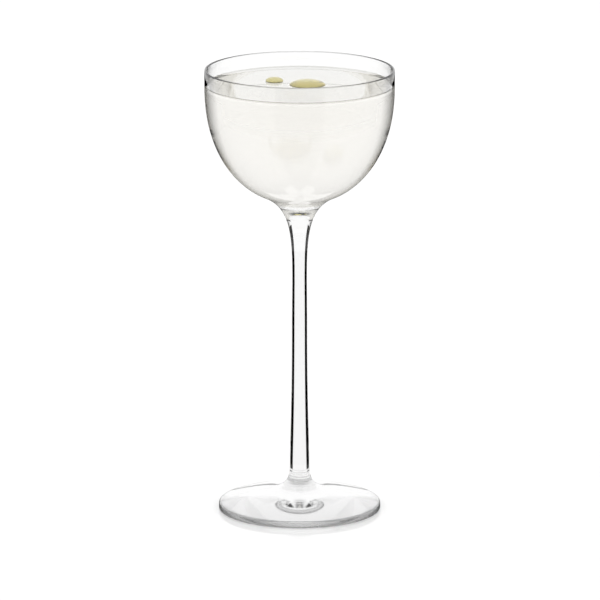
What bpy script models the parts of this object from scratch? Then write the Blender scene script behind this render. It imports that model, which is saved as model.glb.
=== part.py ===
"""A cocktail in a stemmed glass: one piece of clear glass, the drink in its bowl,
and two drops of oil that float on the drink.

The origin is on the surface that the glass stands on, at the middle of the foot.
+Z runs up the stem and is the axis of the glass. The side that faces -Y is the front.
"""

import math

import bmesh
import bpy
from mathutils import Vector

MM = 0.001

# Bowl
HEIGHT = 190.5 * MM
RIM_RADIUS = 40.0 * MM
WALL_AT_RIM = 1.0 * MM
WALL_AT_BOTTOM = 2.2 * MM
SHOULDER_Z = 182.5 * MM
SHOULDER_PULL = 28.2 * MM
BOWL_END_RADIUS = 16.0 * MM
BOWL_END_Z = 136.4 * MM
BOWL_END_SLOPE = math.radians(23)
BOWL_END_PULL = 10.9 * MM
INSIDE_BOTTOM_Z = 133.3 * MM

# Stem
FLARE_PULL = 16.4 * MM
STEM_TOP_PULL = 34.5 * MM
WAIST_RADIUS = 3.2 * MM
WAIST_Z = 80.0 * MM
WAIST_PULL = 35.0 * MM
STEM_END_RADIUS = 4.15 * MM
STEM_END_Z = 19.0 * MM
STEM_END_PULL = 8.0 * MM

# Foot
FOOT_RADIUS = 34.4 * MM
FOOT_EDGE_HEIGHT = 3.0 * MM
FOOT_EDGE_ROUND = 1.0 * MM
FOOT_UNDER_ROUND = 0.5 * MM
FOOT_FLARE_PULL = 12.0 * MM
FOOT_CROWN = Vector((10.0 * MM, 9.4 * MM))
STANDING_RING_INSIDE = 29.5 * MM
HOLLOW_HEIGHT = 0.6 * MM
HOLLOW_EDGE_PULL = 11.8 * MM
HOLLOW_TOP_PULL = 14.75 * MM

# Drink
GAP = 0.3 * MM
LEVEL_Z = 183.4 * MM
MENISCUS_HEIGHT = 0.8 * MM
MENISCUS_WIDTH = 2.4 * MM

# Oil drops: where the widest part of each one is, and how far the drop rises above it
# and hangs below it
LARGE_DROP = {
    "place": Vector((3.3 * MM, 2.4 * MM, LEVEL_Z)),
    "radius": 7.6 * MM,
    "dome": 2.2 * MM,
    "belly": 3.0 * MM,
}
SMALL_DROP = {
    "place": Vector((-10.6 * MM, 9.3 * MM, LEVEL_Z + 0.5 * MM)),
    "radius": 3.75 * MM,
    "dome": 1.4 * MM,
    "belly": 3.0 * MM,
}
DROP_EDGE_POWER = 1.25

# Fineness of the round shapes
TURN_STEPS = 48
BOWL_STEPS = 14
BOWL_BOTTOM_STEPS = 4
RIM_STEPS = 4
FLARE_STEPS = 12
STEM_STEPS = 5
FOOT_STEPS = 12
FOOT_EDGE_STEPS = 3
HOLLOW_STEPS = 5
MENISCUS_STEPS = 5
DROP_AROUND = 24
DROP_UP = 12
MERGE_DISTANCE = 0.05 * MM


def clear_scene():
    for old in list(bpy.data.objects):
        bpy.data.objects.remove(old, do_unlink=True)


def new_collection(name):
    collection = bpy.data.collections.new(name)
    bpy.context.scene.collection.children.link(collection)
    return collection


def new_material(name, colour, roughness, transmission, ior):
    material = bpy.data.materials.new(name)
    material.use_nodes = True
    shader = material.node_tree.nodes["Principled BSDF"]
    shader.inputs["Base Color"].default_value = (*colour, 1.0)
    shader.inputs["Roughness"].default_value = roughness
    shader.inputs["Metallic"].default_value = 0.0
    shader.inputs["Transmission Weight"].default_value = transmission
    shader.inputs["IOR"].default_value = ior
    return material


def curve(start, start_handle, end_handle, end, steps):
    """Points of a cubic curve after its start, each a (radius, height) vector."""
    points = []
    for step in range(1, steps + 1):
        t = step / steps
        s = 1.0 - t
        points.append(
            start * s**3
            + start_handle * 3 * s * s * t
            + end_handle * 3 * s * t * t
            + end * t**3
        )
    return points


def arc(centre, radius, from_angle, to_angle, steps):
    """Points of an arc after its start, between two angles in degrees."""
    points = []
    for step in range(1, steps + 1):
        angle = math.radians(from_angle + (to_angle - from_angle) * step / steps)
        points.append(centre + Vector((math.cos(angle), math.sin(angle))) * radius)
    return points


def bowl_outside():
    """Points down the outside of the bowl, from its shoulder to its end."""
    shoulder = Vector((RIM_RADIUS, SHOULDER_Z))
    end = Vector((BOWL_END_RADIUS, BOWL_END_Z))
    slope = Vector((math.cos(BOWL_END_SLOPE), math.sin(BOWL_END_SLOPE)))
    shoulder_handle = shoulder - Vector((0, SHOULDER_PULL))
    end_handle = end + slope * BOWL_END_PULL
    return [shoulder] + curve(shoulder, shoulder_handle, end_handle, end, BOWL_STEPS)


def bowl_inside(outside, clearance=0.0):
    """Points down the inside of the bowl to the axis, the wall growing thicker.

    A clearance moves them further inwards, which gives the side of what fills the bowl.
    """
    points = []
    for index, point in enumerate(outside):
        before = outside[max(index - 1, 0)]
        after = outside[min(index + 1, len(outside) - 1)]
        along = (after - before).normalized()
        wall = WALL_AT_RIM + (WALL_AT_BOTTOM - WALL_AT_RIM) * (index / (len(outside) - 1)) ** 2
        points.append(point + Vector((along.y, -along.x)) * (wall + clearance))
    last = points[-1]
    along = (points[-1] - points[-2]).normalized()
    bottom = Vector((0, INSIDE_BOTTOM_Z + clearance))
    pull = last.x / 3
    last_handle = last + along * pull
    bottom_handle = bottom + Vector((pull, 0))
    return points + curve(last, last_handle, bottom_handle, bottom, BOWL_BOTTOM_STEPS)


def glass_outline():
    """The turned outline, up the inside of the bowl, over the rim and down the outside."""
    outside = bowl_outside()
    inside = bowl_inside(outside)
    rim_round = WALL_AT_RIM / 2
    rim_centre = Vector((RIM_RADIUS - rim_round, HEIGHT - rim_round))
    rim_start = rim_centre - Vector((rim_round, 0))
    rim = [rim_start] + arc(rim_centre, rim_round, 180, 0, RIM_STEPS)

    bowl_end = outside[-1]
    slope = Vector((math.cos(BOWL_END_SLOPE), math.sin(BOWL_END_SLOPE)))
    waist = Vector((WAIST_RADIUS, WAIST_Z))
    up = Vector((0, 1))
    flare_handle = bowl_end - slope * FLARE_PULL
    flare = curve(bowl_end, flare_handle, waist + up * STEM_TOP_PULL, waist, FLARE_STEPS)
    stem_end = Vector((STEM_END_RADIUS, STEM_END_Z))
    stem_handle = stem_end + up * STEM_END_PULL
    stem = curve(waist, waist - up * WAIST_PULL, stem_handle, stem_end, STEM_STEPS)

    edge_centre = Vector((FOOT_RADIUS - FOOT_EDGE_ROUND, FOOT_EDGE_HEIGHT - FOOT_EDGE_ROUND))
    edge_start = edge_centre + Vector((0, FOOT_EDGE_ROUND))
    foot_handle = stem_end - up * FOOT_FLARE_PULL
    foot = curve(stem_end, foot_handle, FOOT_CROWN, edge_start, FOOT_STEPS)
    edge_top = arc(edge_centre, FOOT_EDGE_ROUND, 90, 0, FOOT_EDGE_STEPS)
    under_centre = Vector((FOOT_RADIUS - FOOT_UNDER_ROUND, FOOT_UNDER_ROUND))
    edge_bottom = [under_centre + Vector((FOOT_UNDER_ROUND, 0))]
    edge_bottom += arc(under_centre, FOOT_UNDER_ROUND, 0, -90, FOOT_EDGE_STEPS)

    ring = Vector((STANDING_RING_INSIDE, 0))
    middle = Vector((0, HOLLOW_HEIGHT))
    ring_handle = ring - Vector((HOLLOW_EDGE_PULL, 0))
    middle_handle = middle + Vector((HOLLOW_TOP_PULL, 0))
    hollow = [ring] + curve(ring, ring_handle, middle_handle, middle, HOLLOW_STEPS)
    return inside[::-1] + rim + outside + flare + stem + foot + edge_top + edge_bottom + hollow


def drink_outline():
    """The turned outline of the drink, from the middle of its surface down to the bottom."""
    side = bowl_inside(bowl_outside(), GAP)
    wall_radius = side[0].x
    surface = [Vector((0, LEVEL_Z)), Vector((wall_radius / 2, LEVEL_Z))]
    for step in range(MENISCUS_STEPS + 1):
        to_wall = MENISCUS_WIDTH * (1 - step / MENISCUS_STEPS)
        rise = MENISCUS_HEIGHT * (1 - to_wall / MENISCUS_WIDTH) ** 3
        surface.append(Vector((wall_radius - to_wall, LEVEL_Z + rise)))
    return surface + side


def turned(name, outline, material, collection):
    """A solid of revolution round Z, made by a Screw modifier."""
    mesh = bpy.data.meshes.new(name)
    corners = [(point.x, 0.0, point.y) for point in outline]
    edges = [(index, index + 1) for index in range(len(corners) - 1)]
    mesh.from_pydata(corners, edges, [])
    mesh.materials.append(material)
    piece = bpy.data.objects.new(name, mesh)
    collection.objects.link(piece)
    screw = piece.modifiers.new("Turn", "SCREW")
    screw.axis = "Z"
    screw.angle = math.tau
    screw.steps = TURN_STEPS
    screw.render_steps = TURN_STEPS
    screw.use_merge_vertices = True
    screw.merge_threshold = MERGE_DISTANCE
    screw.use_smooth_shade = True
    return piece


def drop(name, size, swell, material, collection):
    """A ball with a low dome, a shallow belly and a narrow edge, larger all round by swell."""
    mesh = bpy.data.meshes.new(name)
    shape = bmesh.new()
    bmesh.ops.create_uvsphere(shape, u_segments=DROP_AROUND, v_segments=DROP_UP, radius=1.0)
    for corner in shape.verts:
        corner.co.x *= size["radius"] + swell
        corner.co.y *= size["radius"] + swell
        reach = size["dome"] if corner.co.z > 0 else size["belly"]
        bulge = abs(corner.co.z) ** DROP_EDGE_POWER
        corner.co.z = math.copysign(bulge * (reach + swell), corner.co.z)
    shape.to_mesh(mesh)
    shape.free()
    mesh.shade_smooth()
    mesh.materials.append(material)
    piece = bpy.data.objects.new(name, mesh)
    piece.location = size["place"]
    collection.objects.link(piece)
    return piece


def cut(piece, cutter):
    cutter.hide_render = True
    cutter.display_type = "WIRE"
    boolean = piece.modifiers.new("Cut for " + cutter.name, "BOOLEAN")
    boolean.operation = "DIFFERENCE"
    boolean.solver = "EXACT"
    boolean.object = cutter


clear_scene()
parts = new_collection("cocktail_in_stemmed_glass")
cutters = new_collection("cutters")

clear_glass = new_material("clear glass", (1.0, 1.0, 1.0), 0.02, 1.0, 1.52)
pale_drink = new_material("pale drink", (0.97, 0.95, 0.90), 0.02, 1.0, 1.35)
golden_oil = new_material("golden oil", (0.80, 0.72, 0.34), 0.05, 1.0, 1.47)

turned("glass", glass_outline(), clear_glass, parts)
drink = turned("drink", drink_outline(), pale_drink, parts)
for name, size in (("oil_drop_large", LARGE_DROP), ("oil_drop_small", SMALL_DROP)):
    drop(name, size, 0.0, golden_oil, parts)
    cut(drink, drop(name + "_cutter", size, GAP, golden_oil, cutters))
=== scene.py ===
"""A cocktail in a stemmed glass: a clear blown bowl on a pulled stem and a round foot,
a pale drink in the bowl, and two drops of golden oil that float on it.
"""

import math

import bmesh
import bpy
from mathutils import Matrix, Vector


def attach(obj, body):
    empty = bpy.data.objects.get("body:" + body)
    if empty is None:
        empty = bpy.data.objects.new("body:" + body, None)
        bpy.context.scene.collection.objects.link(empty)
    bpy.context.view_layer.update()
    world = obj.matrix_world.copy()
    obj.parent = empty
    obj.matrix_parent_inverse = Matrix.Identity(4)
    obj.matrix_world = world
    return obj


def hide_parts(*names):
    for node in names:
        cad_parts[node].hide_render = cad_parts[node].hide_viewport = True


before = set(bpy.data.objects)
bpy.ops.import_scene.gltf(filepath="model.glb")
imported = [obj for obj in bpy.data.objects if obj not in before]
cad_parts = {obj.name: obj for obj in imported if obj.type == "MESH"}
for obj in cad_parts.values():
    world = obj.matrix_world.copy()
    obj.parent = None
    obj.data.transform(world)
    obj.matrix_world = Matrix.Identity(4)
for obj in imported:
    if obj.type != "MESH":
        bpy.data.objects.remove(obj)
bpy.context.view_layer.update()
MM = 0.001


# Camera and studio
#
# The glass stands on a white glossy table under an even white light. The camera looks
# down on it from a little above the rim, with a long lens.

CAMERA_PLACE = Vector((0.17 * MM, -2489.6 * MM, 688.3 * MM))
CAMERA_TILT = math.radians(90 - 13.4946)
SENSOR = 36.0
LENS = 362.63

camera_data = bpy.data.cameras.new("camera")
camera_data.sensor_width = SENSOR
camera_data.lens = LENS
camera_data.clip_end = 100.0
camera = bpy.data.objects.new("camera", camera_data)
camera.location = CAMERA_PLACE
camera.rotation_euler = (CAMERA_TILT, 0.0, 0.0)
bpy.context.scene.collection.objects.link(camera)
bpy.context.scene.camera = camera


def linear(hex_colour):
    """The linear colour of an sRGB hex value."""
    channels = [int(hex_colour[i : i + 2], 16) / 255 for i in (0, 2, 4)]
    return tuple(c / 12.92 if c <= 0.04045 else ((c + 0.055) / 1.055) ** 2.4 for c in channels)


def add_node(tree, kind, settings=None, links=None):
    """Adds a node, sets its properties and sockets, and links other nodes' outputs to it."""
    node = tree.nodes.new(kind)
    for name, value in (settings or {}).items():
        if isinstance(name, int) or name in node.inputs:
            node.inputs[name].default_value = value
        else:
            setattr(node, name, value)
    for name, output in (links or {}).items():
        tree.links.new(output, node.inputs[name])
    return node


def new_material(name):
    material = bpy.data.materials.new(name)
    material.use_nodes = True
    material.node_tree.nodes.clear()
    return material


# An even white light from all round, as from large diffusers. Straight above it is darker for
# light that the glass has bent one to four times.
LIGHT_STRENGTH = 1.08
CEILING_FADE = (math.sin(math.radians(52)), math.sin(math.radians(75)))
CEILING_DARKNESS = 0.9
CEILING_BENDS = 2.5
CEILING_BENDS_REACH = 2.0
world = bpy.data.worlds.new("white diffusers")
world.use_nodes = True
tree = world.node_tree
tree.nodes.clear()
direction = add_node(tree, "ShaderNodeTexCoord")
axes = add_node(tree, "ShaderNodeSeparateXYZ", links={"Vector": direction.outputs["Generated"]})
ceiling = add_node(
    tree,
    "ShaderNodeMapRange",
    {"From Min": CEILING_FADE[0], "From Max": CEILING_FADE[1]},
    {"Value": axes.outputs["Z"]},
)
seen = add_node(tree, "ShaderNodeLightPath")
bent = add_node(
    tree,
    "ShaderNodeMath",
    {"operation": "COMPARE", 1: CEILING_BENDS, 2: CEILING_BENDS_REACH},
    {0: seen.outputs["Transmission Depth"]},
)
unscattered = add_node(
    tree, "ShaderNodeMath", {"operation": "LESS_THAN", 1: 0.5}, {0: seen.outputs["Diffuse Depth"]}
)
clear_view = add_node(
    tree, "ShaderNodeMath", {"operation": "MULTIPLY"}, {0: bent.outputs[0], 1: unscattered.outputs[0]}
)
view = add_node(
    tree,
    "ShaderNodeMath",
    {"operation": "MULTIPLY"},
    {0: clear_view.outputs[0], 1: ceiling.outputs["Result"]},
)
light = add_node(
    tree,
    "ShaderNodeMath",
    {"operation": "MULTIPLY_ADD", 1: -CEILING_DARKNESS * LIGHT_STRENGTH, 2: LIGHT_STRENGTH},
    {0: view.outputs[0]},
)
diffusers = add_node(
    tree, "ShaderNodeBackground", {"Color": (1, 1, 1, 1)}, {"Strength": light.outputs[0]}
)
add_node(tree, "ShaderNodeOutputWorld", links={"Surface": diffusers.outputs["Background"]})
bpy.context.scene.world = world
bpy.context.scene.view_settings.view_transform = "Standard"

# Light is mirrored many times inside thick glass before it leaves it. It stays sharp there
# after the table has scattered it, or the table would look too dark through the foot.
PATH_LENGTH = 48
paths = bpy.context.scene.cycles
paths.max_bounces = PATH_LENGTH
paths.transmission_bounces = PATH_LENGTH
paths.glossy_bounces = PATH_LENGTH
paths.blur_glossy = 0.0

# The white table turns with the camera, and so do the black cloths that lie and hang beside
# and before the glass. Angles count from the direction straight behind it. Only the light that
# the glass bends or mirrors comes from the cloths: they give its clear edges their dark lines.
TABLE_SIZE = 30.0
CONTACT_GAP = 0.05 * MM
CLOTH_START = 300 * MM
CLOTH_FADE = (math.radians(38), math.radians(62))
STEM_CLOTH_EDGE = math.radians(33)
STEM_CLOTH_START = 38 * MM
STEM_CLOTH_TOP = 400 * MM
OUTSIDE_EDGE = math.radians(2)
SIDE_CLOTH_START = 110 * MM
NEAR_CLOTH_EDGE = math.radians(40)
SIDE_CLOTH_FADE = (890 * MM, 925 * MM)
BEHIND_EDGE = math.radians(32)
STRIP_MIDDLE = 855 * MM
STRIP_HALF_WIDTH = 155 * MM
FRONT_EDGE = math.radians(150)
CURTAIN_DISTANCE = 1.5
CURTAIN_HEIGHT = 1.5
CURTAIN_STEPS = 96

table_shape = bmesh.new()
bmesh.ops.create_grid(table_shape, x_segments=1, y_segments=1, size=TABLE_SIZE / 2)
bmesh.ops.translate(table_shape, verts=table_shape.verts, vec=(0, 0, -CONTACT_GAP))
table_mesh = bpy.data.meshes.new("table_top")
table_shape.to_mesh(table_mesh)
table_shape.free()
table = bpy.data.objects.new("table_top", table_mesh)
bpy.context.scene.collection.objects.link(table)
turn = table.constraints.new("LOCKED_TRACK")
turn.target = camera
turn.track_axis = "TRACK_NEGATIVE_Y"
turn.lock_axis = "LOCK_Z"


def add_sums(tree, sums):
    """Adds Math nodes for (name, operation, *terms). A term is a number or a name made before.

    The names to start with are x, y, z and distance, the place on the object, and bends,
    mirrorings and scatterings, what befell the light by the time it comes there.
    """
    place = add_node(tree, "ShaderNodeTexCoord").outputs["Object"]
    axes = add_node(tree, "ShaderNodeSeparateXYZ", links={"Vector": place})
    distance = add_node(tree, "ShaderNodeVectorMath", {"operation": "LENGTH"}, {0: place})
    seen = add_node(tree, "ShaderNodeLightPath")
    values = {
        "x": axes.outputs["X"],
        "y": axes.outputs["Y"],
        "z": axes.outputs["Z"],
        "distance": distance.outputs["Value"],
        "bends": seen.outputs["Transmission Depth"],
        "mirrorings": seen.outputs["Glossy Depth"],
        "scatterings": seen.outputs["Diffuse Depth"],
    }
    for name, operation, *terms in sums:
        step = add_node(tree, "ShaderNodeMath", {"operation": operation})
        for socket, term in enumerate(terms):
            if term in values:
                tree.links.new(values[term], step.inputs[socket])
            else:
                step.inputs[socket].default_value = term
        values[name] = step.outputs["Value"]
    return values


def cloth_sums():
    """Sums for "black", 0 up to the first angle of the fade and 1 from the last one on, and
    for "stem black", the cloths that the stem and the foot show in light bent twice.
    """
    return (
        ("sideways", "ABSOLUTE", "x"),
        ("angle", "ARCTAN2", "sideways", "y"),
        ("past start", "SUBTRACT", "angle", CLOTH_FADE[0]),
        ("fade", "DIVIDE", "past start", CLOTH_FADE[1] - CLOTH_FADE[0]),
        ("up to one", "MINIMUM", "fade", 1.0),
        ("black", "MAXIMUM", "up to one", 0.0),
        ("mirrored", "GREATER_THAN", "mirrorings", 0.5),
        ("not mirrored", "SUBTRACT", 1.0, "mirrored"),
        ("scattered", "GREATER_THAN", "scatterings", 0.5),
        ("not straight", "MAXIMUM", "mirrored", "scattered"),
        ("bent twice", "COMPARE", "bends", 2.0, 0.5),
        ("twice alone", "MULTIPLY", "bent twice", "not mirrored"),
        ("past stem edge", "GREATER_THAN", "angle", STEM_CLOTH_EDGE),
        ("stem black", "MULTIPLY", "twice alone", "past stem edge"),
    )


# Gloss-white acrylic: bright, with a faint soft mirror image of the foot.
acrylic = new_material("gloss white acrylic")
tree = acrylic.node_tree
surface = add_node(
    tree,
    "ShaderNodeBsdfPrincipled",
    {"Base Color": (*linear("FAFAFA"), 1), "Roughness": 0.01, "IOR": 1.7},
)
values = add_sums(
    tree,
    cloth_sums()
    + (
        ("on cloth", "GREATER_THAN", "distance", CLOTH_START),
        ("bent", "GREATER_THAN", "bends", 0.5),
        ("bent alone", "MULTIPLY", "bent", "not mirrored"),
        ("bent on cloth", "MULTIPLY", "bent alone", "on cloth"),
        ("far bent dark", "MULTIPLY", "bent on cloth", "black"),
        ("on stem cloth", "GREATER_THAN", "distance", STEM_CLOTH_START),
        ("stem dark", "MULTIPLY", "stem black", "on stem cloth"),
        ("bent dark", "MAXIMUM", "far bent dark", "stem dark"),
        ("not bent", "SUBTRACT", 1.0, "bent"),
        ("past outside edge", "GREATER_THAN", "angle", OUTSIDE_EDGE),
        ("past start behind", "GREATER_THAN", "distance", SIDE_CLOTH_START),
        ("near cloth", "GREATER_THAN", "angle", NEAR_CLOTH_EDGE),
        ("past side start", "MAXIMUM", "past start behind", "near cloth"),
        ("to side end", "SUBTRACT", SIDE_CLOTH_FADE[1], "distance"),
        ("side fade", "DIVIDE", "to side end", SIDE_CLOTH_FADE[1] - SIDE_CLOTH_FADE[0]),
        ("side fade low", "MAXIMUM", "side fade", 0.0),
        ("side fade both", "MINIMUM", "side fade low", 1.0),
        ("side black", "MULTIPLY", "side fade both", "past side start"),
        ("side dark", "MULTIPLY", "past outside edge", "side black"),
        ("behind", "LESS_THAN", "angle", BEHIND_EDGE),
        ("on strip", "COMPARE", "distance", STRIP_MIDDLE, STRIP_HALF_WIDTH),
        ("far behind", "MULTIPLY", "behind", "on strip"),
        ("side or behind", "MAXIMUM", "side dark", "far behind"),
        ("outside dark", "MULTIPLY", "not bent", "side or behind"),
        ("before", "GREATER_THAN", "angle", FRONT_EDGE),
        ("before or behind", "MAXIMUM", "before", "far behind"),
        ("few bends", "LESS_THAN", "bends", 2.5),
        ("bent few", "MULTIPLY", "bent", "few bends"),
        ("inside dark", "MULTIPLY", "bent few", "before or behind"),
        ("either side", "MAXIMUM", "outside dark", "inside dark"),
        ("mirrored dark", "MULTIPLY", "mirrored", "either side"),
        ("dark", "MAXIMUM", "bent dark", "mirrored dark"),
    ),
)
cloth = add_node(tree, "ShaderNodeEmission", {"Strength": 0.0})
either = add_node(
    tree,
    "ShaderNodeMixShader",
    links={0: values["dark"], 1: surface.outputs["BSDF"], 2: cloth.outputs["Emission"]},
)
add_node(tree, "ShaderNodeOutputMaterial", links={"Surface": either.outputs["Shader"]})
table_mesh.materials.append(acrylic)


# Matt black cloth, hung as a curtain on each side: black from the side round to the front, and
# white towards the back.
curtain_cloth = new_material("curtain of matt black cloth")
tree = curtain_cloth.node_tree
values = add_sums(
    tree,
    cloth_sums()
    + (
        ("low", "LESS_THAN", "z", STEM_CLOTH_TOP),
        ("low stem black", "MULTIPLY", "stem black", "low"),
        ("either black", "MAXIMUM", "black", "low stem black"),
        ("light", "MULTIPLY_ADD", "either black", -LIGHT_STRENGTH, LIGHT_STRENGTH),
    ),
)
black = add_node(tree, "ShaderNodeEmission", links={"Strength": values["light"]})
clear = add_node(tree, "ShaderNodeBsdfTransparent")
either = add_node(
    tree,
    "ShaderNodeMixShader",
    links={0: values["not straight"], 1: black.outputs["Emission"], 2: clear.outputs["BSDF"]},
)
add_node(tree, "ShaderNodeOutputMaterial", links={"Surface": either.outputs["Shader"]})

for side, name in ((-1, "curtain_left"), (1, "curtain_right")):
    shape = bmesh.new()
    direction = math.pi / 2 - side * STEM_CLOTH_EDGE
    foot = Vector((math.cos(direction), math.sin(direction), 0)) * CURTAIN_DISTANCE
    ends = [shape.verts.new(foot + Vector((0, 0, z))) for z in (0, CURTAIN_HEIGHT)]
    edge = shape.edges.new(ends)
    bmesh.ops.spin(
        shape,
        geom=[*ends, edge],
        cent=(0, 0, 0),
        axis=(0, 0, 1),
        angle=-side * (math.pi - STEM_CLOTH_EDGE),
        steps=CURTAIN_STEPS,
    )
    mesh = bpy.data.meshes.new(name)
    shape.to_mesh(mesh)
    shape.free()
    mesh.materials.append(curtain_cloth)
    piece = bpy.data.objects.new(name, mesh)
    bpy.context.scene.collection.objects.link(piece)
    piece.parent = table
    piece.visible_camera = False
    piece.visible_diffuse = False
    piece.visible_glossy = False
    piece.visible_shadow = False
    piece.visible_volume_scatter = False


# Glass
#
# One piece of clear crystal: the bowl is blown, the stem is pulled from its bottom while
# the glass is soft, and the foot is dropped on and pressed flat. All of it is fire polished.

HEIGHT = 190.5 * MM
RIM_RADIUS = 40.0 * MM
WALL_AT_RIM = 1.0 * MM
WALL_AT_BOTTOM = 2.2 * MM
SHOULDER_Z = 182.5 * MM
SHOULDER_PULL = 28.2 * MM
BOWL_END = Vector((16.0 * MM, 136.4 * MM))
BOWL_END_SLOPE = math.radians(23)
BOWL_END_PULL = 10.9 * MM
INSIDE_BOTTOM_Z = 133.3 * MM
FLARE_PULL = 16.4 * MM
# The height, width and depth of each fine groove that turning the soft glass leaves.
GROOVES = (
    (126.5 * MM, 1.4 * MM, 0.14 * MM),
    (14.6 * MM, 1.0 * MM, 0.15 * MM),
    (12.4 * MM, 1.2 * MM, 0.12 * MM),
    (10.4 * MM, 1.2 * MM, 0.12 * MM),
)
STEM_TOP_PULL = 34.5 * MM
WAIST = Vector((3.2 * MM, 80.0 * MM))
WAIST_PULL = 35.0 * MM
STEM_END = Vector((4.15 * MM, 19.0 * MM))
STEM_END_PULL = 8.0 * MM
FOOT_RADIUS = 34.4 * MM
FOOT_EDGE_HEIGHT = 3.0 * MM
FOOT_EDGE_ROUND = 1.0 * MM
FOOT_UNDER_ROUND = 0.5 * MM
FOOT_FLARE_PULL = 12.0 * MM
FOOT_CROWN = Vector((10.0 * MM, 9.4 * MM))
STANDING_RING_INSIDE = 29.5 * MM
HOLLOW_HEIGHT = 0.6 * MM
HOLLOW_EDGE_PULL = 11.8 * MM
HOLLOW_TOP_PULL = 14.75 * MM
BOWL_STEPS = 56
BOWL_BOTTOM_STEPS = 20
RIM_STEPS = 12
FLARE_STEPS = 200
STEM_STEPS = 24
FOOT_STEPS = 240
FOOT_EDGE_STEPS = 10
FOOT_UNDER_STEPS = 8
HOLLOW_STEPS = 24
AROUND = 256
MERGE_DISTANCE = 0.002 * MM


def curve(start, start_handle, end_handle, end, steps):
    """Points of a cubic curve after its start, each a (radius, height) vector."""
    points = []
    for step in range(1, steps + 1):
        t = step / steps
        s = 1.0 - t
        points.append(
            start * s**3
            + start_handle * 3 * s * s * t
            + end_handle * 3 * s * t * t
            + end * t**3
        )
    return points


def arc(centre, radius, from_angle, to_angle, steps):
    """Points of an arc after its start, between two angles in degrees."""
    points = []
    for step in range(1, steps + 1):
        angle = math.radians(from_angle + (to_angle - from_angle) * step / steps)
        points.append(centre + Vector((math.cos(angle), math.sin(angle))) * radius)
    return points


def bowl_outside():
    """Points down the outside of the bowl, from its shoulder to its end."""
    shoulder = Vector((RIM_RADIUS, SHOULDER_Z))
    slope = Vector((math.cos(BOWL_END_SLOPE), math.sin(BOWL_END_SLOPE)))
    shoulder_handle = shoulder - Vector((0, SHOULDER_PULL))
    end_handle = BOWL_END + slope * BOWL_END_PULL
    return [shoulder] + curve(shoulder, shoulder_handle, end_handle, BOWL_END, BOWL_STEPS)


def bowl_inside(outside, reach=0.0):
    """Points down the inside of the bowl to the axis, moved by reach into the wall."""
    points = []
    for index, point in enumerate(outside):
        before = outside[max(index - 1, 0)]
        after = outside[min(index + 1, len(outside) - 1)]
        along = (after - before).normalized()
        wall = WALL_AT_RIM + (WALL_AT_BOTTOM - WALL_AT_RIM) * (index / (len(outside) - 1)) ** 2
        points.append(point + Vector((along.y, -along.x)) * (wall - reach))
    last = points[-1]
    along = (points[-1] - points[-2]).normalized()
    bottom = Vector((0, INSIDE_BOTTOM_Z - reach))
    pull = last.x / 3
    end_handle = bottom + Vector((pull, 0))
    return points + curve(last, last + along * pull, end_handle, bottom, BOWL_BOTTOM_STEPS)


def glass_outline():
    """Points from the inside of the bowl over its rim and down to the middle of the foot."""
    outside = bowl_outside()
    inside = bowl_inside(outside)
    lip = WALL_AT_RIM / 2
    lip_centre = Vector((RIM_RADIUS - lip, HEIGHT - lip))
    rim = [lip_centre - Vector((lip, 0))] + arc(lip_centre, lip, 180, 0, RIM_STEPS)
    slope = Vector((math.cos(BOWL_END_SLOPE), math.sin(BOWL_END_SLOPE)))
    up = Vector((0, 1))
    flare_handle = BOWL_END - slope * FLARE_PULL
    flare = curve(BOWL_END, flare_handle, WAIST + up * STEM_TOP_PULL, WAIST, FLARE_STEPS)
    stem_handle = STEM_END + up * STEM_END_PULL
    stem = curve(WAIST, WAIST - up * WAIST_PULL, stem_handle, STEM_END, STEM_STEPS)
    edge = Vector((FOOT_RADIUS - FOOT_EDGE_ROUND, FOOT_EDGE_HEIGHT - FOOT_EDGE_ROUND))
    edge_start = edge + up * FOOT_EDGE_ROUND
    foot_handle = STEM_END - up * FOOT_FLARE_PULL
    foot = curve(STEM_END, foot_handle, FOOT_CROWN, edge_start, FOOT_STEPS)
    for height, width, depth in GROOVES:
        for point in flare + foot:
            from_middle = abs(point.y - height) / (width / 2)
            if from_middle < 1:
                point.x -= depth * (1 + math.cos(math.pi * from_middle)) / 2
    edge_top = arc(edge, FOOT_EDGE_ROUND, 90, 0, FOOT_EDGE_STEPS)
    under = Vector((FOOT_RADIUS - FOOT_UNDER_ROUND, FOOT_UNDER_ROUND))
    edge_bottom = [under + Vector((FOOT_UNDER_ROUND, 0))]
    edge_bottom += arc(under, FOOT_UNDER_ROUND, 0, -90, FOOT_UNDER_STEPS)
    ring = Vector((STANDING_RING_INSIDE, 0))
    middle = Vector((0, HOLLOW_HEIGHT))
    ring_handle = ring - Vector((HOLLOW_EDGE_PULL, 0))
    middle_handle = middle + Vector((HOLLOW_TOP_PULL, 0))
    hollow = [ring] + curve(ring, ring_handle, middle_handle, middle, HOLLOW_STEPS)
    return inside[::-1] + rim + outside + flare + stem + foot + edge_top + edge_bottom + hollow


def turned(name, outline):
    """A mesh made by turning an outline of (radius, height) points once round Z."""
    shape = bmesh.new()
    corners = [shape.verts.new((point.x, 0, point.y)) for point in outline]
    edges = [shape.edges.new(pair) for pair in zip(corners, corners[1:])]
    bmesh.ops.spin(
        shape,
        geom=corners + edges,
        cent=(0, 0, 0),
        axis=(0, 0, 1),
        angle=math.tau,
        steps=AROUND,
        use_merge=True,
    )
    bmesh.ops.remove_doubles(shape, verts=shape.verts, dist=MERGE_DISTANCE)
    bmesh.ops.recalc_face_normals(shape, faces=shape.faces)
    mesh = bpy.data.meshes.new(name)
    shape.to_mesh(mesh)
    shape.free()
    mesh.shade_smooth()
    return mesh


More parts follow.
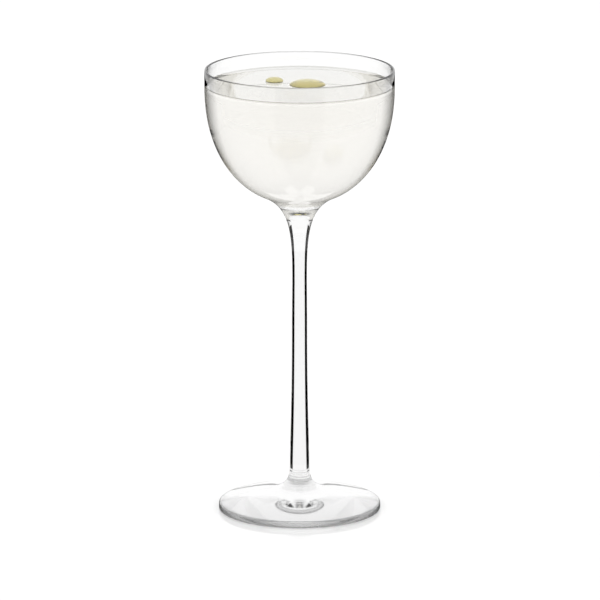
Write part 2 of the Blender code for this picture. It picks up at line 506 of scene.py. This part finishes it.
# Clear crystal glass, blown and fire polished: sharp dark edges and a bright, clean middle.
# The rim and the foot's edge have painted shade, a grey in the glass's colour that draws dark lines
# there: the rim from a height, the edge from a radius.
# Painted shade: the heights of the rim and the radii of the foot's edge that are greyed.
RIM_PAINTED_SHADE = (HEIGHT - 0.6 * MM, HEIGHT - 0.3 * MM)
FOOT_EDGE_PAINTED_SHADE = (33.6 * MM, 34.3 * MM)
FOOT_EDGE_PAINTED_SHADE_TOP = FOOT_EDGE_HEIGHT + 1.0 * MM
crystal = new_material("clear crystal glass")
tree = crystal.node_tree
place = add_node(tree, "ShaderNodeTexCoord")
axes = add_node(tree, "ShaderNodeSeparateXYZ", links={"Vector": place.outputs["Object"]})
at_rim = add_node(
    tree,
    "ShaderNodeMapRange",
    {"From Min": RIM_PAINTED_SHADE[0], "From Max": RIM_PAINTED_SHADE[1]},
    {"Value": axes.outputs["Z"]},
)
across = add_node(
    tree, "ShaderNodeVectorMath", {"operation": "MULTIPLY", 1: (1, 1, 0)}, {0: place.outputs["Object"]}
)
radius = add_node(tree, "ShaderNodeVectorMath", {"operation": "LENGTH"}, {0: across.outputs[0]})
at_foot_edge = add_node(
    tree,
    "ShaderNodeMapRange",
    {"From Min": FOOT_EDGE_PAINTED_SHADE[0], "From Max": FOOT_EDGE_PAINTED_SHADE[1]},
    {"Value": radius.outputs["Value"]},
)
low = add_node(
    tree,
    "ShaderNodeMath",
    {"operation": "LESS_THAN", 1: FOOT_EDGE_PAINTED_SHADE_TOP},
    {0: axes.outputs["Z"]},
)
on_foot_edge = add_node(
    tree,
    "ShaderNodeMath",
    {"operation": "MULTIPLY"},
    {0: at_foot_edge.outputs["Result"], 1: low.outputs[0]},
)
# Painted shade: grey mixed into the glass's colour at the rim and at the foot's edge.
rim_painted_shade = add_node(
    tree,
    "ShaderNodeMix",
    {"data_type": "RGBA", 6: (*linear("FFFFFF"), 1), 7: (*linear("CCCCCC"), 1)},
    {0: at_rim.outputs["Result"]},
)
painted_shade_mix = add_node(
    tree,
    "ShaderNodeMix",
    {"data_type": "RGBA", 7: (*linear("B8B8B8"), 1)},
    {0: on_foot_edge.outputs[0], 6: rim_painted_shade.outputs[2]},
)
surface = add_node(
    tree,
    "ShaderNodeBsdfPrincipled",
    {"Roughness": 0.0, "IOR": 1.52, "Transmission Weight": 1.0},
    {"Base Color": painted_shade_mix.outputs[2]},
)
depth = add_node(
    tree, "ShaderNodeVolumeAbsorption", {"Color": (*linear("BCBCBC"), 1), "Density": 7.0}
)
add_node(
    tree,
    "ShaderNodeOutputMaterial",
    links={"Surface": surface.outputs["BSDF"], "Volume": depth.outputs["Volume"]},
)

glass_mesh = turned("crystal_glass", glass_outline())
glass_mesh.materials.append(crystal)
glass = bpy.data.objects.new("crystal_glass", glass_mesh)
bpy.context.scene.collection.objects.link(glass)
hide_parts("glass")
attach(glass, "root")


# Drink
#
# A chilled clear cocktail with a faint ivory tint, poured to 7 mm below the rim. It wets
# the wall, so its edge climbs a little, and the drops of oil press shallow dents in it.

LEVEL_Z = 183.4 * MM
MENISCUS_HEIGHT = 0.8 * MM
MENISCUS_WIDTH = 2.4 * MM
MENISCUS_STEPS = 16
SURFACE_PAINTED_SHADE_REACH = 0.02 * MM
SHARP_ANGLE = math.radians(30)
INTO_WALL = 0.06 * MM
INTO_DROP = 0.04 * MM
LARGE_DROP = {
    "place": Vector((3.3 * MM, 2.4 * MM, LEVEL_Z)),
    "radius": 7.6 * MM,
    "dome": 2.2 * MM,
    "belly": 3.0 * MM,
}
SMALL_DROP = {
    "place": Vector((-10.6 * MM, 9.3 * MM, LEVEL_Z + 0.5 * MM)),
    "radius": 3.75 * MM,
    "dome": 1.4 * MM,
    "belly": 3.0 * MM,
}
DROP_EDGE = 1.25
DROP_AROUND = 96
DROP_RINGS = 48


def drink_outline():
    """Points from the middle of the drink's surface up to the wall and down along it."""
    side = bowl_inside(bowl_outside(), INTO_WALL)
    wall_radius = side[0].x
    surface = [Vector((0, LEVEL_Z))]
    for step in range(MENISCUS_STEPS + 1):
        to_wall = MENISCUS_WIDTH * (1 - step / MENISCUS_STEPS)
        rise = MENISCUS_HEIGHT * (1 - to_wall / MENISCUS_WIDTH) ** 3
        surface.append(Vector((wall_radius - to_wall, LEVEL_Z + rise)))
    return surface + side


def drop_mesh(name, size, swell=0.0):
    """A ball with a low dome above the drink and a shallow belly in it."""
    shape = bmesh.new()
    bmesh.ops.create_uvsphere(
        shape, u_segments=DROP_AROUND, v_segments=DROP_RINGS, radius=1.0
    )
    for corner in shape.verts:
        rise = size["dome"] if corner.co.z > 0 else -size["belly"]
        bulge = abs(corner.co.z) ** DROP_EDGE
        corner.co.x *= size["radius"] + swell
        corner.co.y *= size["radius"] + swell
        corner.co.z = bulge * (rise + math.copysign(swell, rise))
        corner.co += size["place"]
    mesh = bpy.data.meshes.new(name)
    shape.to_mesh(mesh)
    shape.free()
    mesh.shade_smooth()
    return mesh


drink_mesh = turned("pale_drink", drink_outline())
drink = bpy.data.objects.new("pale_drink", drink_mesh)
bpy.context.scene.collection.objects.link(drink)
for size in (LARGE_DROP, SMALL_DROP):
    dent = bpy.data.objects.new("dent", drop_mesh("dent", size, -INTO_DROP))
    bpy.context.scene.collection.objects.link(dent)
    cut = drink.modifiers.new("Dent", "BOOLEAN")
    cut.operation = "DIFFERENCE"
    cut.solver = "MANIFOLD"
    cut.object = dent
    with bpy.context.temp_override(object=drink, active_object=drink):
        bpy.ops.object.modifier_apply(modifier=cut.name)
    bpy.data.objects.remove(dent, do_unlink=True)
drink.data.shade_smooth()
drink.data.set_sharp_from_angle(angle=SHARP_ANGLE)

# Water, spirit and wine: as clear as the glass, with a faint warmth that its depth brings out. Its
# surface has painted shade: a grey in its colour darkens the top and the edge that climbs the wall.
pale_drink = new_material("clear pale spirit")
tree = pale_drink.node_tree
place = add_node(tree, "ShaderNodeTexCoord")
axes = add_node(tree, "ShaderNodeSeparateXYZ", links={"Vector": place.outputs["Object"]})
# Painted shade: grey on the drink's surface, from just below its level upward.
on_top = add_node(
    tree,
    "ShaderNodeMath",
    {"operation": "GREATER_THAN", 1: LEVEL_Z - SURFACE_PAINTED_SHADE_REACH},
    {0: axes.outputs["Z"]},
)
painted_shade_mix = add_node(
    tree,
    "ShaderNodeMix",
    {"data_type": "RGBA", 6: (*linear("FFFFFF"), 1), 7: (*linear("DFDFDC"), 1)},
    {0: on_top.outputs[0]},
)
surface = add_node(
    tree,
    "ShaderNodeBsdfPrincipled",
    {"Roughness": 0.0, "IOR": 1.35, "Transmission Weight": 1.0},
    {"Base Color": painted_shade_mix.outputs[2]},
)
depth = add_node(
    tree, "ShaderNodeVolumeAbsorption", {"Color": (*linear("EFEBE0"), 1), "Density": 7.0}
)
add_node(
    tree,
    "ShaderNodeOutputMaterial",
    links={"Surface": surface.outputs["BSDF"], "Volume": depth.outputs["Volume"]},
)
drink.data.materials.clear()
drink.data.materials.append(pale_drink)
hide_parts("drink")
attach(drink, "root")


# Oil drops
#
# Two drops of golden-green oil, a large one and a small one. Oil is lighter than the drink
# and doesn't mix with it, so each floats as a smooth bead with a low dome.

# Golden-green olive oil: clear and warm, with painted shade: a dark line round the bead's edge, where
# it meets the drink.
EDGE_PAINTED_SHADE_REACH = 0.25 * MM
golden_oil = new_material("golden olive oil")
tree = golden_oil.node_tree
place = add_node(tree, "ShaderNodeTexCoord")
axes = add_node(tree, "ShaderNodeSeparateXYZ", links={"Vector": place.outputs["Object"]})
# Painted shade: a dark band round the bead at the drink's level.
at_edge = add_node(
    tree,
    "ShaderNodeMath",
    {"operation": "COMPARE", 1: LEVEL_Z, 2: EDGE_PAINTED_SHADE_REACH},
    {0: axes.outputs["Z"]},
)
painted_shade_mix = add_node(
    tree,
    "ShaderNodeMix",
    {"data_type": "RGBA", 6: (*linear("E4DFB6"), 1), 7: (*linear("6E6840"), 1)},
    {0: at_edge.outputs[0]},
)
surface = add_node(
    tree,
    "ShaderNodeBsdfPrincipled",
    {"Roughness": 0.0, "IOR": 1.47, "Transmission Weight": 0.75},
    {"Base Color": painted_shade_mix.outputs[2]},
)
depth = add_node(
    tree, "ShaderNodeVolumeAbsorption", {"Color": (*linear("F0ECC6"), 1), "Density": 200.0}
)
add_node(
    tree,
    "ShaderNodeOutputMaterial",
    links={"Surface": surface.outputs["BSDF"], "Volume": depth.outputs["Volume"]},
)
for node, size in (("oil_drop_large", LARGE_DROP), ("oil_drop_small", SMALL_DROP)):
    mesh = drop_mesh(node + "_bead", size)
    mesh.materials.append(golden_oil)
    bead = bpy.data.objects.new(node + "_bead", mesh)
    bpy.context.scene.collection.objects.link(bead)
    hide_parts(node)
    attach(bead, "root")
